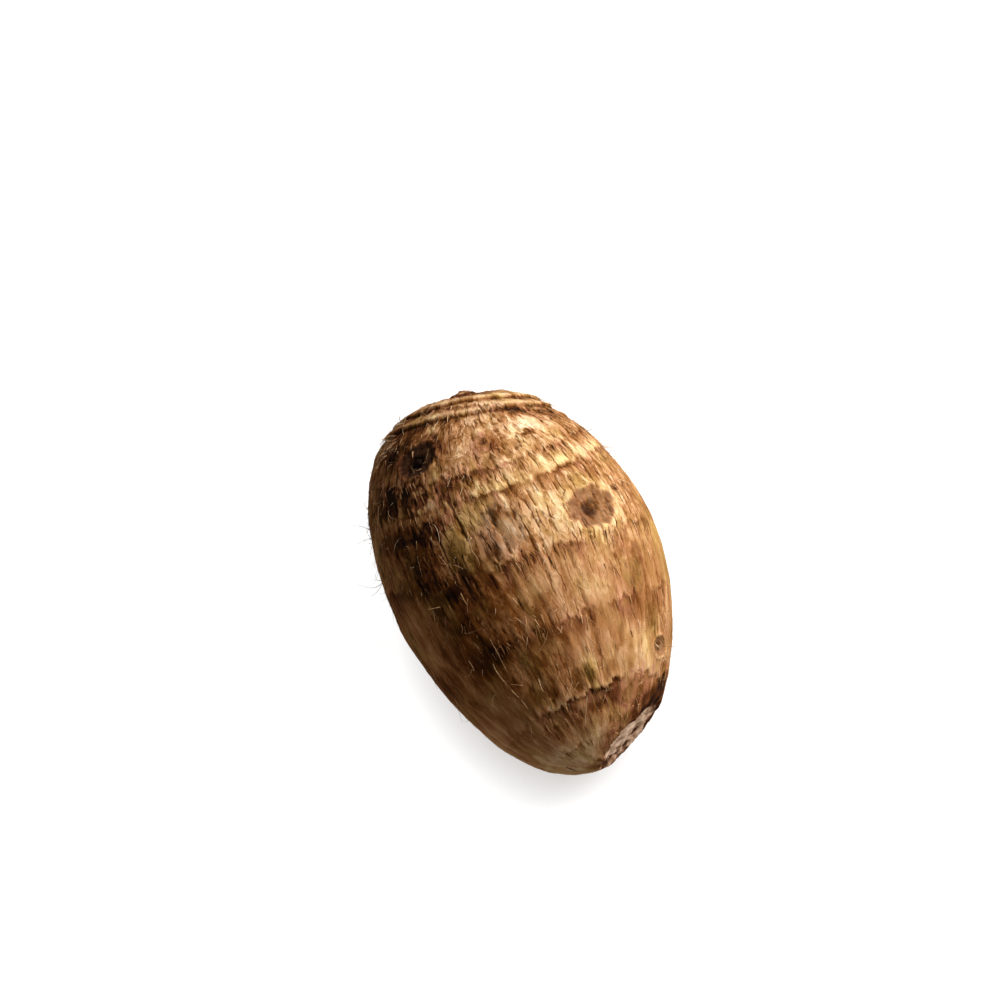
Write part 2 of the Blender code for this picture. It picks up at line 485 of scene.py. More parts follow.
DARKER = (
    (0.080, -50, 8.0, 10.0, -0.12), (0.120, -50, 7.0, 9.0, -0.12), (0.125, -52, 3.0, 4.0, -0.12),
    (0.165, -17, 4.0, 3.5, -0.12), (0.194, 37, 3.0, 5.0, -0.10), (0.195, -24, 2.5, 3.0, -0.14),
    (0.235, 3, 2.4, 4.0, -0.08), (0.284, -1, 2.0, 4.0, -0.12), (0.360, -47, 3.0, 4.0, -0.18),
    (0.370, -58, 3.0, 5.0, -0.16), (0.410, 22, 2.4, 5.0, -0.10), (0.420, -51, 5.0, 5.0, -0.16),
    (0.440, -66, 2.0, 8.0, -0.08), (0.464, -61, 4.0, 7.0, -0.12), (0.470, -47, 3.0, 4.0, -0.12),
    (0.480, -37, 11.0, 1.2, -0.24), (0.490, -52, 2.2, 6.0, -0.12), (0.490, -32, 5.0, 4.0, -0.16),
    # Painted shade: the patch at station 0.500, angle -88 darkens the whole left flank, the side
    # away from the key lamp.
    (0.500, -88, 40.0, 24.0, -0.12), (0.505, -33, 5.0, 3.0, -0.14), (0.520, -48, 4.0, 4.0, -0.10),
    (0.520, -42, 3.0, 4.0, -0.08), (0.520, 170, 9.0, 8.0, -0.18), (0.528, -42, 3.0, 4.0, -0.14),
    (0.559, -31, 3.0, 4.0, -0.14), (0.560, -50, 7.0, 6.0, -0.22), (0.563, -60, 4.0, 4.0, -0.12),
    # Painted shade: the strip at station 0.620, angle -44 is a painted core shadow along the left
    # flank.
    (0.580, 60, 18.0, 14.0, -0.08), (0.610, -30, 7.0, 6.0, -0.12), (0.620, -44, 28.0, 8.0, -0.10),
    (0.620, -30, 3.5, 3.5, -0.12), (0.634, -64, 6.0, 4.0, -0.12), (0.640, -40, 12.0, 4.0, -0.12),
    (0.651, 32, 4.0, 5.0, -0.05), (0.655, -20, 3.5, 6.0, -0.12), (0.655, 30, 7.0, 8.0, -0.13),
    (0.660, -3, 4.0, 5.0, -0.06), (0.665, -51, 9.0, 6.0, -0.14), (0.680, -78, 6.0, 5.0, -0.10),
    (0.690, -47, 6.0, 4.0, -0.14), (0.700, -22, 8.0, 6.0, -0.06), (0.700, -17, 3.0, 4.0, -0.08),
    (0.740, 44, 5.0, 8.0, -0.10), (0.755, -20, 7.0, 7.0, -0.14), (0.760, -45, 14.0, 16.0, -0.07),
    (0.768, 30, 7.0, 6.0, -0.10), (0.828, -17, 4.0, 6.0, -0.10), (0.830, 4, 3.0, 4.0, -0.06),
    (0.840, -36, 4.0, 6.0, -0.14), (0.840, -2, 4.0, 9.0, -0.14), (0.900, -5, 2.0, 4.0, -0.14),
)
PATCHES = tuple(Patch(*row) for row in YELLOWISH + GREYISH + RUDDY + PALER + DARKER)

# Station, angle, spread in millimetres, how many more strands
TUFTS = (
    (0.270, -82, 5.0, 5.0),
    (0.060, -58, 5.0, 5.0),
    (0.320, 66, 4.0, 6.0),
    (0.820, 60, 3.0, 4.0),
    (0.885, -8, 5.0, 2.0),
    (0.020, 120, 8.0, 3.0),
)
LAID_TUFTS = (
    (0.270, -38, 2.5, 4.0),
    (0.360, -42, 3.0, 4.0),
    (0.500, -42, 9.0, 2.0),
    (0.560, -47, 7.0, 2.5),
    (0.440, -22, 4.0, 3.0),
    (0.880, -8, 4.0, 4.0),
    (0.760, 40, 9.0, 1.0),
    (0.400, 140, 12.0, 1.0),
)
EDGE_TUFTS = (
    (0.260, -84, 4.0, 5.0),
    (0.330, -92, 3.0, 4.0),
    (0.050, -60, 4.0, 5.0),
    (0.320, 66, 4.0, 6.0),
    (0.820, 58, 3.0, 2.0),
    (0.040, 150, 9.0, 3.0),
)


@dataclass(frozen=True)
class Cells:
    """Scattered cells over the unrolled skin, closed round the corm."""

    columns: int
    rows: int
    seed: int
    jitter: float = 0.8

    @cached_property
    def draws(self) -> np.ndarray:
        """Five fixed random numbers, 0 to 1, for each cell."""
        return np.random.default_rng(self.seed).random((self.rows, self.columns, 5))

    def near(self, around: np.ndarray, along: np.ndarray) -> tuple:
        """Find the nearest cell to each place.

        Args:
            around: Place round the corm, in turns.
            along: Place along the skin, 0 at the crown and 1 at the root end.

        Returns:
            Offsets from the cell's middle across and along, in cells, three random numbers of
            that cell, and how much further the second nearest middle is.
        """
        across = np.mod(around, 1.0) * self.columns
        down = along * self.rows
        best = np.full(across.shape, np.inf)
        second = np.full(across.shape, np.inf)
        found = np.zeros(across.shape + (5,))
        for step_down in (-1, 0, 1):
            for step_across in (-1, 0, 1):
                row = np.floor(down).astype(int) + step_down
                column = np.floor(across).astype(int) + step_across
                draw = self.draws[row % self.rows, column % self.columns]
                offset = across - column - 0.5 - self.jitter * (draw[..., 0] - 0.5)
                drop = down - row - 0.5 - self.jitter * (draw[..., 1] - 0.5)
                far = offset ** 2 + drop ** 2
                nearer = far < best
                second = np.where(nearer, best, np.minimum(second, far))
                best = np.where(nearer, far, best)
                here = np.concatenate([np.stack([offset, drop], -1), draw[..., 2:]], -1)
                found = np.where(nearer[..., None], here, found)
        return found[..., 0], found[..., 1], found[..., 2:], np.sqrt(second) - np.sqrt(best)


@dataclass(frozen=True)
class Crack:
    """A kind of crack in the bark: its cells, half sizes, share of the cells, and depth."""

    cells: Cells
    half_length: float
    half_width: float
    often: float
    depth: float


@dataclass
class Bark:
    """What the bark is like at each place: its relief and what its colour depends on."""

    height: np.ndarray
    tone: np.ndarray
    red: np.ndarray
    ash: np.ndarray
    ochre: np.ndarray
    comb: np.ndarray
    # Dark cracks and grooves, and the painted shadow and shade of rings, flakes, eyes and the
    # broken end.
    gap: np.ndarray
    crackle: np.ndarray
    flesh: np.ndarray
    scar_height: np.ndarray


@dataclass(frozen=True)
class BarkSurvey:
    """Works out the bark from the rings, eyes, patches, flakes and cracks of the corm."""

    egg: Egg
    base_tone: float = 0.63
    flanks: tuple = (0.7, 1.3)
    back: tuple = (1.66, 2.05)
    slim: float = 0.004
    lump: float = 0.00030
    fibre_relief: float = 0.00016
    overlap_edge: float = 0.00016
    overlap_reach: float = 0.0024
    flake_lift: float = 0.00028
    eye_stretch: tuple = (1.06, 0.84)
    eye_steps: float = 17.0
    crown_radius: float = 0.0080
    crown_depth: float = 0.0012
    crown_steps: float = 21.0
    crown_bud_radius: float = 0.0032
    crown_bud_height: float = 0.0012
    scar_upper_degrees: float = 65.0
    flakes: Cells = Cells(62, 20, 11)
    cracks: tuple = (
        Crack(Cells(58, 17, 23), 0.0019, 0.00034, 0.60, 0.00045),
        Crack(Cells(30, 8, 31), 0.0060, 0.00040, 0.55, 0.00054),
    )

    def look(self, station: np.ndarray, angle: np.ndarray) -> Bark:
        """Work out the bark at each place.

        Args:
            station: Place along the axis.
            angle: Angle about the axis, in radians.

        Returns:
            The bark there.
        """
        at = Places.on(self.egg, station, angle)
        torn = self._torn(at)
        bark = Bark(*(np.zeros_like(station) for _ in fields(Bark)))
        bark.tone += self.base_tone
        self._add_ground(bark, at)
        self._add_calm(bark, at)
        self._add_patches(bark, torn)
        self._add_rings(bark, at)
        self._add_flakes(bark, torn.combed())
        self._add_cracks(bark, at.combed())
        self._add_eyes(bark, at)
        self._add_crown(bark, at)
        self._add_scar(bark, at)
        return bark

    def _torn(self, at: Places) -> Places:
        """Shift places a little, so that edges drawn on them come out torn along the grain.

        Args:
            at: The places.

        Returns:
            The shifted places, with their grain as it was.
        """
        side = 0.9 * MM * at.lumps(3, 6, 1)
        down = 2.4 * MM * at.lumps(1.3, 14, 2)
        down = down + 1.2 * MM * at.lumps(4, 4, 3)
        share = np.clip((at.down + down) / self.egg.whole, 0, 1)
        angle = at.angle + side / np.maximum(at.radius, self.slim)
        return replace(at, station=self.egg.station_at(share), angle=angle)

    def _add_ground(self, bark: Bark, at: Places) -> None:
        """Low lumps, fibrous ridges and blotches that are all over the bark.

        Args:
            bark: The bark so far, which is changed.
            at: The places.
        """
        strands = at.lumps(1.6, 14, 5)
        bark.height += self.lump * at.lumps(11, 15, 4)
        bark.height += self.fibre_relief * strands
        bark.tone += 0.10 * at.lumps(9, 14, 6)
        bark.tone += 0.10 * at.lumps(3.5, 9, 7)
        bark.tone += 0.07 * strands
        bark.tone -= 0.04 * smoothstep(0.90, 0.97, at.station)
        bark.red += 0.55 * np.maximum(at.lumps(5, 9, 8), 0)
        bark.ochre += 0.90 * np.maximum(at.lumps(6, 11, 22), 0)

    def _add_calm(self, bark: Bark, at: Places) -> None:
        """How cracked the bark is: most on the crown half, little on the flanks. Painted light on
        the back's -Y half, the side turned away from the key lamp.

        Args:
            bark: The bark so far, which is changed.
            at: The places.
        """
        round_from_top = np.abs(at.angle)
        back = smoothstep(*self.back, round_from_top)
        crown_half = 1 - smoothstep(0.42, 0.58, at.station - 0.06 * np.cos(at.angle))
        calm = smoothstep(*self.flanks, round_from_top) * smoothstep(0.22, 0.34, at.station)
        # Painted light: the back on the -Y side, which the key lamp does not reach, is made paler.
        bark.tone += 0.20 * back * smoothstep(-0.2, 0.1, -np.sin(at.angle))
        bark.crackle += 0.22 + 0.78 * crown_half + 0.35 * at.lumps(12, 12, 20, 2)
        bark.crackle *= 1 - 0.75 * calm * (1 - back)

    @staticmethod
    def _add_patches(bark: Bark, at: Places) -> None:
        """Stains, scars, peeled places and two patches of painted shade on the left flank.

        Args:
            bark: The bark so far, which is changed.
            at: The places.
        """
        for patch in PATCHES:
            across = at.beside(patch.angle) * at.radius / (patch.across * MM)
            along = at.past(patch.station) / (patch.along * MM)
            share = 1 - smoothstep(0.65, 1.15, np.hypot(across, along))
            bark.tone += patch.tone * share
            bark.red += patch.red * share
            bark.ash += patch.ash * share
            bark.ochre += patch.ochre * share

    def _add_rings(self, bark: Bark, at: Places) -> None:
        """The leaf scars, each with an edge that wanders, frays and breaks.

        Args:
            bark: The bark so far, which is changed.
            at: The places.
        """
        slant = np.maximum(1 / np.sqrt(1 + self.egg.slope(at.station) ** 2), 0.35)
        combed = at.lumps(1.3, 60, 9, 2)
        frayed = at.lumps(1.5, 12, 10)
        broken = at.lumps(3.2, 5, 21, 2)
        for number, ring in enumerate(RINGS):
            circle = at.grain * (1, 1, 0) + (0, 0, number)
            off = ring.offset(at) / slant
            wander = np.where(np.abs(off) < 25 * MM, fractal(circle, 9 * MM, 12, 2), 0)
            off = off + MM * ring.ragged * (wander + 1.7 * frayed + broken)
            reach = ring.teeth * np.clip(1 + 1.5 * combed, 0.25, 2.2)
            self._add_ring(bark, ring, off, reach, self._ring_strength(ring, at, circle))

    def _ring_strength(self, ring: Ring, at: Places, circle: np.ndarray) -> np.ndarray:
        """How plainly a ring shows: it comes and goes, and is loudest on one side.

        Args:
            ring: The ring.
            at: The places.
            circle: The places moved onto one circle, so that noise runs round the corm.

        Returns:
            About 0 to 1.4 for each place.
        """
        breaks = 1.3 * min(1.4 * ring.ragged, 1.3)
        strength = np.clip(0.85 + breaks * fractal(circle, 11 * MM, 13, 2), 0.10, 1.4)
        facing = 0.5 + 0.5 * np.cos(at.beside(ring.loud_angle))
        facing = np.maximum(facing ** 2, smoothstep(*self.back, np.abs(at.angle)))
        return strength * (ring.quiet + (1 - ring.quiet) * facing)

    def _add_ring(self, bark: Bark, ring: Ring, off: np.ndarray, reach: np.ndarray,
                  strength: np.ndarray) -> None:
        """Overlapping bark at one leaf scar, with its torn teeth, its pale edge and a painted
        shadow line under the overlapping edge.

        Args:
            bark: The bark so far.
            ring: The ring.
            off: Distance from its torn edge, negative on its crown side.
            reach: How far its teeth reach.
            strength: How plainly it shows.
        """
        over = 1 / (1 + np.exp(np.clip(off / self.overlap_edge, -40, 40)))
        before = np.minimum(off, 0)
        after = np.maximum(off, 0)
        crown_side = over * np.exp(before / min(ring.band, 3.0 * MM))
        root_side = (1 - over) * np.exp(-after / self.overlap_reach)
        fringe = (1 - over) * np.exp(-(after / reach) ** 1.6)
        pale = strength * over * np.exp(-(before / ring.band) ** 2)
        # Painted shadow: a thin dark line just on the root side of the edge, under the overlap.
        shadow_line = np.exp(-((off - 0.25 * MM) / (0.32 * MM)) ** 2) * strength
        bark.height += ring.lip * strength * (crown_side - 0.6 * root_side)
        bark.tone += ring.pale * pale - ring.fringe * strength * fringe
        bark.ochre += (0.35 + 0.45 * ring.comb) * pale * (ring.pale > 0.08)
        bark.red += 0.5 * ring.red * pale * (ring.comb == 0) + ring.red * strength * fringe
        bark.comb = np.maximum(bark.comb, ring.comb * pale)
        bark.gap = np.maximum(bark.gap, 0.8 * shadow_line * min(ring.lip / MM, 1))

    def _add_flakes(self, bark: Bark, at: Places) -> None:
        """Thin overlapping flakes whose root-side edges stand off the skin, with painted shadow
        along their seams.

        Args:
            bark: The bark so far, which is changed.
            at: The places.
        """
        _, along, draw, edge = self.flakes.near(at.angle / (2 * math.pi), at.share)
        lifted = self.flake_lift * draw[..., 0] * (0.35 + along) * np.clip(bark.crackle, 0.3, 1)
        body = smoothstep(0.02, 0.16, edge)
        # Painted shadow along the flake seams, where the lifted edges overhang the skin.
        seam_shadow = (1 - body) * smoothstep(0.5, 0.8, draw[..., 2])
        bark.height += lifted * body
        bark.tone += 0.09 * (draw[..., 1] - 0.5)
        bark.gap = np.maximum(bark.gap, 0.35 * seam_shadow * np.clip(bark.crackle, 0, 1))

    def _add_cracks(self, bark: Bark, at: Places) -> None:
        """Short cracks all over, and long fissures.

        Args:
            bark: The bark so far, which is changed.
            at: The places.
        """
        sway = 0.6 * MM * at.lumps(5, 8, 14, 2)
        bent = at.angle + sway / np.maximum(at.radius, self.slim)
        for crack in self.cracks:
            cells = crack.cells
            across, along, draw, _ = cells.near(bent / (2 * math.pi), at.share)
            side = np.abs(across) * 2 * math.pi * at.radius / cells.columns
            reach = crack.half_length * (0.5 + draw[..., 0])
            taper = 1 - np.clip(np.abs(along) * self.egg.whole / cells.rows / reach, 0, 1) ** 2
            width = crack.half_width * (0.35 + 0.65 * taper)
            line = 1 - smoothstep(0.3, 1.0, side / width)
            line = line * (taper > 0) * (draw[..., 1] < crack.often) * smoothstep(0, 0.25, taper)
            line = line * smoothstep(0.35, 0.6, at.radius / self.egg.girth_radius)
            line = line * np.clip(bark.crackle + 0.2, 0, 1)
            bark.height -= crack.depth * line
            bark.gap = np.maximum(bark.gap, 0.7 * line)

    def _add_eyes(self, bark: Bark, at: Places) -> None:
        """Bud eyes, each a dark disc with steps, a crater and a bud in it. The crater and a ring
        round the bud carry painted shade.

        Args:
            bark: The bark so far, which is changed.
            at: The places.
        """
        wide, tall = self.eye_stretch
        ragged = 0.20 * at.lumps(2.6, 2.6, 15)
        for eye in EYES:
            across = at.beside(eye.angle) * at.radius / wide
            along = at.past(eye.station) / tall
            spoke = np.arctan2(along, across)
            reach = np.hypot(across, along) / eye.radius + ragged
            inside = 1 - smoothstep(0.85, 1.08, reach)
            bowl = np.clip(1 - reach ** 2, 0, 1)
            turns = reach * self.eye_steps + 0.8 * np.sin(2 * spoke)
            steps = 0.10 * np.sin(turns) * inside
            rim = np.exp(-((reach - 1.05) / 0.16) ** 2)
            crater = np.exp(-(reach / 0.34) ** 4)
            bud = np.exp(-(reach / 0.17) ** 2)
            flecks = 0.04 * np.sin(17 * spoke + 9 * ragged) * inside * np.clip(reach, 0, 1)
            bark.height += eye.depth * (0.35 * rim + steps - 0.9 * bowl - 0.7 * crater + 1.5 * bud)
            bark.tone += 0.90 * inside * (0.66 - eye.dark - bark.tone)
            # Painted shade: the crater is darkened by its depth.
            bark.tone += flecks - 0.30 * crater + (0.42 - 0.6 * eye.dark) * bud + 0.08 * rim
            bark.crackle *= 1 - 0.85 * inside
            bark.red += 0.40 * inside * (1 - 0.6 * crater)
            bark.ash += 0.45 * inside
            bark.ochre *= 1 - inside
            # Painted shade: a dark ring in the crater round the bud.
            bark.gap = np.maximum(bark.gap, 0.5 * (crater - np.exp(-(reach / 0.24) ** 4)))

    def _add_crown(self, bark: Bark, at: Places) -> None:
        """The growing tip: a dish with stepped rings and a scaly bud.

        Args:
            bark: The bark so far, which is changed.
            at: The places.
        """
        skin = self.egg.straight(at.station, at.angle)
        tip = self.egg.straight(np.array([self.egg.bud_station]),
                                np.radians([self.egg.bud_degrees]))[0]
        ragged = 0.10 * fractal(skin, 2.4 * MM, 16)
        reach = np.linalg.norm(skin - tip, axis=-1) / self.crown_radius + ragged
        inside = 1 - smoothstep(0.95, 1.2, reach)
        steps = np.sin(reach * self.crown_steps)
        bud = np.exp(-(reach * self.crown_radius / self.crown_bud_radius) ** 4)
        bark.height += 0.22 * MM * steps * inside - self.crown_depth * np.exp(-reach ** 4)
        bark.height += bud * (self.crown_bud_height + 0.4 * MM * fractal(skin, 0.9 * MM, 17, 2))
        bark.tone += 0.16 * bud - 0.30 * inside * (0.6 + 0.4 * steps)
        bark.red += 0.9 * inside
        bark.gap = np.maximum(bark.gap, 0.8 * np.exp(-((reach - 0.48) / 0.07) ** 2))

    def _add_scar(self, bark: Bark, at: Places) -> None:
        """The rough, dry flesh where the corm broke off its parent, and its torn rim. Painted
        shadow darkens the upper rim, the skin just outside it and the deepest pits; painted light
        brightens the upper part of the face.

        Args:
            bark: The bark so far, which is changed.
            at: The places.
        """
        skin = self.egg.straight(at.station, at.angle)
        smooth = self.egg.beyond_scar(at.station, at.angle)
        torn = 0.9 * MM * fractal(skin, 3.2 * MM, 18)
        beyond = smooth + torn
        bark.flesh = smoothstep(0.30 * MM, 0.60 * MM, beyond)
        rim = np.exp(-((beyond - 0.25 * MM) / (0.60 * MM)) ** 2)
        pitted = fractal(skin, 3.4 * MM, 19, 3)
        hollow = smoothstep(0.3 * MM, 2.0 * MM, smooth)
        bark.scar_height = 0.8 * MM * pitted - 0.9 * MM * hollow + 0.6 * torn * rim
        # Upper side of the broken end, the side towards the key lamp.
        upper = 0.5 + 0.5 * np.cos(at.beside(self.scar_upper_degrees))
        # Painted shadow under the overhanging skin along the upper rim.
        bark.gap = np.maximum(bark.gap, np.clip(1.3 * rim * (0.75 + pitted) * upper, 0, 1))
        # Painted shade in the deepest pits of the flesh.
        bark.gap = np.maximum(bark.gap, 0.7 * smoothstep(0.20, 0.50, -pitted) * bark.flesh)
        # Painted shadow on the skin just outside the upper rim, where it overhangs the broken face.
        stain_and_shadow = np.exp(-((smooth + 1.0 * MM) / (1.1 * MM)) ** 2) * upper ** 2
        # Flesh tone with painted light: paler on the upper side towards the lamp, and darker in the
        # low pits as painted shade.
        flesh_with_painted_light = 0.60 + 0.30 * (upper - 0.5) + 0.30 * pitted
        bark.tone += bark.flesh * (flesh_with_painted_light - bark.tone) - 0.34 * stain_and_shadow
        bark.red += 0.9 * rim + 0.9 * stain_and_shadow



# ---------------------------------------------------------------- shader building


class Signal:
    """A shader socket that takes part in Python expressions."""

    def __init__(self, board: "Board", socket: bpy.types.NodeSocket) -> None:
        """Wrap a socket of a board's nodes."""
        self.board = board
        self.socket = socket

    def _math(self, operation: str, *values: "Signal | float") -> "Signal":
        """Add a Math node and return its result."""
        return self.board.node("ShaderNodeMath", {"operation": operation}, dict(enumerate(values)))

    def __add__(self, other: "Signal | float") -> "Signal":
        """Sum."""
        return self._math("ADD", self, other)

    def __radd__(self, other: float) -> "Signal":
        """Sum with the number first."""
        return self._math("ADD", other, self)

    def __sub__(self, other: "Signal | float") -> "Signal":
        """Difference."""
        return self._math("SUBTRACT", self, other)

    def __rsub__(self, other: float) -> "Signal":
        """Difference with the number first."""
        return self._math("SUBTRACT", other, self)

    def __mul__(self, other: "Signal | float") -> "Signal":
        """Product."""
        return self._math("MULTIPLY", self, other)

    def __rmul__(self, other: float) -> "Signal":
        """Product with the number first."""
        return self._math("MULTIPLY", other, self)

    def __truediv__(self, other: "Signal | float") -> "Signal":
        """Quotient."""
        return self._math("DIVIDE", self, other)

    def __abs__(self) -> "Signal":
        """Size without its sign."""
        return self._math("ABSOLUTE", self)

    def most(self, other: "Signal | float") -> "Signal":
        """The larger of two values."""
        return self._math("MAXIMUM", self, other)

    def rise(self, low: float, high: float) -> "Signal":
        """Rise smoothly from 0 at low to 1 at high, or fall where low is the larger.

        Args:
            low: Where it is 0.
            high: Where it is 1.

        Returns:
            The share.
        """
        settings = {"interpolation_type": "SMOOTHSTEP"}
        return self.board.node("ShaderNodeMapRange", settings,
                               {"Value": self, "From Min": low, "From Max": high})


class Board:
    """The node tree of one material."""

    def __init__(self, name: str) -> None:
        """Start a material with only its output and its shader.

        Args:
            name: Name of the material.
        """
        self.material = bpy.data.materials.new(name)
        self.material.use_nodes = True
        self.tree = self.material.node_tree
        self.shader = self.tree.nodes["Principled BSDF"]

    def node(self, kind: str, settings: dict, inputs: dict, output: int | str = 0) -> Signal:
        """Add a node.

        Args:
            kind: Blender's name for the type of node.
            settings: The node's own properties, and "stops" for a colour ramp.
            inputs: Values or signals for its sockets, by name or number.
            output: Which output to return.

        Returns:
            That output.
        """
        made = self.tree.nodes.new(kind)
        for name, value in settings.items():
            if name == "stops":
                self.set_stops(made.color_ramp, value)
            else:
                setattr(made, name, value)
        for name, value in inputs.items():
            self.feed(made.inputs[name], value)
        return Signal(self, made.outputs[output])

    @staticmethod
    def set_stops(ramp: bpy.types.ColorRamp, stops: tuple) -> None:
        """Give a colour ramp its stops, each a position and a colour.

        Args:
            ramp: The ramp.
            stops: Its stops, in order.
        """
        while len(ramp.elements) < len(stops):
            ramp.elements.new(1.0)
        for element, (position, colour) in zip(ramp.elements, stops):
            element.position = position
            element.color = (*colour, 1.0)

    def feed(self, socket: bpy.types.NodeSocket, value: "Signal | float | tuple") -> None:
        """Link a signal to a socket, or set the socket's own value.

        Args:
            socket: Socket of a node.
            value: What it gets.
        """
        if isinstance(value, Signal):
            self.tree.links.new(value.socket, socket)
        elif socket.type == "RGBA":
            socket.default_value = (*value, 1.0)
        else:
            socket.default_value = value

    def attribute(self, name: str, output: str = "Fac") -> Signal:
        """A value that the mesh carries."""
        return self.node("ShaderNodeAttribute", {"attribute_name": name}, {}, output)

    def scaled(self, vector: Signal, factors: tuple) -> Signal:
        """Stretch a vector along its axes."""
        return self.node("ShaderNodeVectorMath", {"operation": "MULTIPLY"},
                         {0: vector, 1: factors})

    def shifted(self, vector: Signal, move: "Signal | tuple") -> Signal:
        """Move a vector."""
        return self.node("ShaderNodeVectorMath", {"operation": "ADD"}, {0: vector, 1: move})

    def noise(self, vector: Signal, across: float, along: float, detail: float = 4.0,
              rough: float = 0.6, twist: float = 0.0) -> Signal:
        """Noise stretched along the third axis.

        Args:
            vector: Where it is read.
            across: Size of its features across the grain.
            along: Size of its features along the grain.
            detail: Number of finer layers.
            rough: Strength of the finer layers.
            twist: How much it is distorted.

        Returns:
            Values about 0.5.
        """
        place = self.scaled(vector, (1 / across, 1 / across, 1 / along))
        return self.node("ShaderNodeTexNoise", {}, {"Vector": place, "Scale": 1.0, "Detail": detail,
                                                    "Roughness": rough, "Distortion": twist})

    def mix(self, share: "Signal | float", first: "Signal | tuple",
            second: "Signal | tuple") -> Signal:
        """Mix two colours."""
        settings = {"data_type": "RGBA", "clamp_factor": True}
        return self.node("ShaderNodeMix", settings, {0: share, 6: first, 7: second}, 2)

    def ramp(self, value: Signal, stops: tuple) -> Signal:
        """Turn a value into a colour."""
        return self.node("ShaderNodeValToRGB", {"stops": stops}, {"Fac": value})

    def bump(self, height: Signal, distance: float, strength: float) -> Signal:
        """Turn a height in steps of distance into a normal."""
        return self.node("ShaderNodeBump", {}, {"Strength": strength, "Distance": distance,
                                                "Height": height})

    def finish(self, **values: "Signal | float | tuple") -> bpy.types.Material:
        """Set the shader's sockets, with _ for each space in their names.

        Args:
            **values: Values or signals for the sockets.

        Returns:
            The material.
        """
        for name, value in values.items():
            self.feed(self.shader.inputs[name.replace("_", " ")], value)
        return self.material


@dataclass(frozen=True)
class Weave:
    """A layer of noise in the bark. Its sizes are in millimetres, across and along the grain."""

    across: float
    along: float
    detail: float
    rough: float
    twist: float = 0.0

    def on(self, board: Board, grain: Signal) -> Signal:
        """Lay the noise along the grain."""
        return board.noise(grain, self.across * MM, self.along * MM, self.detail, self.rough,
                           self.twist)


@dataclass(frozen=True)
class Dashes:
    """Short dark cracks along the grain, one in some of the cells of a scattered pattern.

    Cells are in millimetres, across and along. Often is the share that holds a crack, and wide
    is how wide the cracks are, against the usual.
    """

    cell: tuple
    often: float
    wide: float
    move: tuple = (0.0, 0.0, 0.0)

    def on(self, board: Board, sheet: Signal) -> Signal:
        """Draw the cracks.

        Args:
            board: Where the nodes go.
            sheet: Place on the unrolled skin, across and along the grain.

        Returns:
            1 in a crack and 0 outside.
        """
        scale = (1 / (self.cell[0] * MM), 1 / (self.cell[1] * MM), 0.0)
        place = board.scaled(board.shifted(sheet, self.move), scale)
        settings = {"voronoi_dimensions": "2D"}
        inputs = {"Vector": place, "Scale": 1.0, "Randomness": 0.85}
        middle = board.node("ShaderNodeTexVoronoi", settings, inputs, "Position")
        draw = board.node("ShaderNodeTexVoronoi", settings, inputs, "Color")
        offset = board.node("ShaderNodeVectorMath", {"operation": "SUBTRACT"},
                            {0: place, 1: middle})
        across = board.node("ShaderNodeSeparateXYZ", {}, {0: offset}, "X")
        along = board.node("ShaderNodeSeparateXYZ", {}, {0: offset}, "Y")
        length_draw = board.node("ShaderNodeSeparateColor", {}, {0: draw}, "Red")
        keep_draw = board.node("ShaderNodeSeparateColor", {}, {0: draw}, "Green")
        taper = 1.0 - abs(along) / (0.22 + 0.28 * length_draw)
        width = self.wide * (0.035 + 0.045 * taper.most(0.0))
        line = (abs(across) / width).rise(1.0, 0.45)
        kept = keep_draw.rise(self.often + 0.02, self.often - 0.02)
        return line * taper.rise(0.0, 0.12) * kept


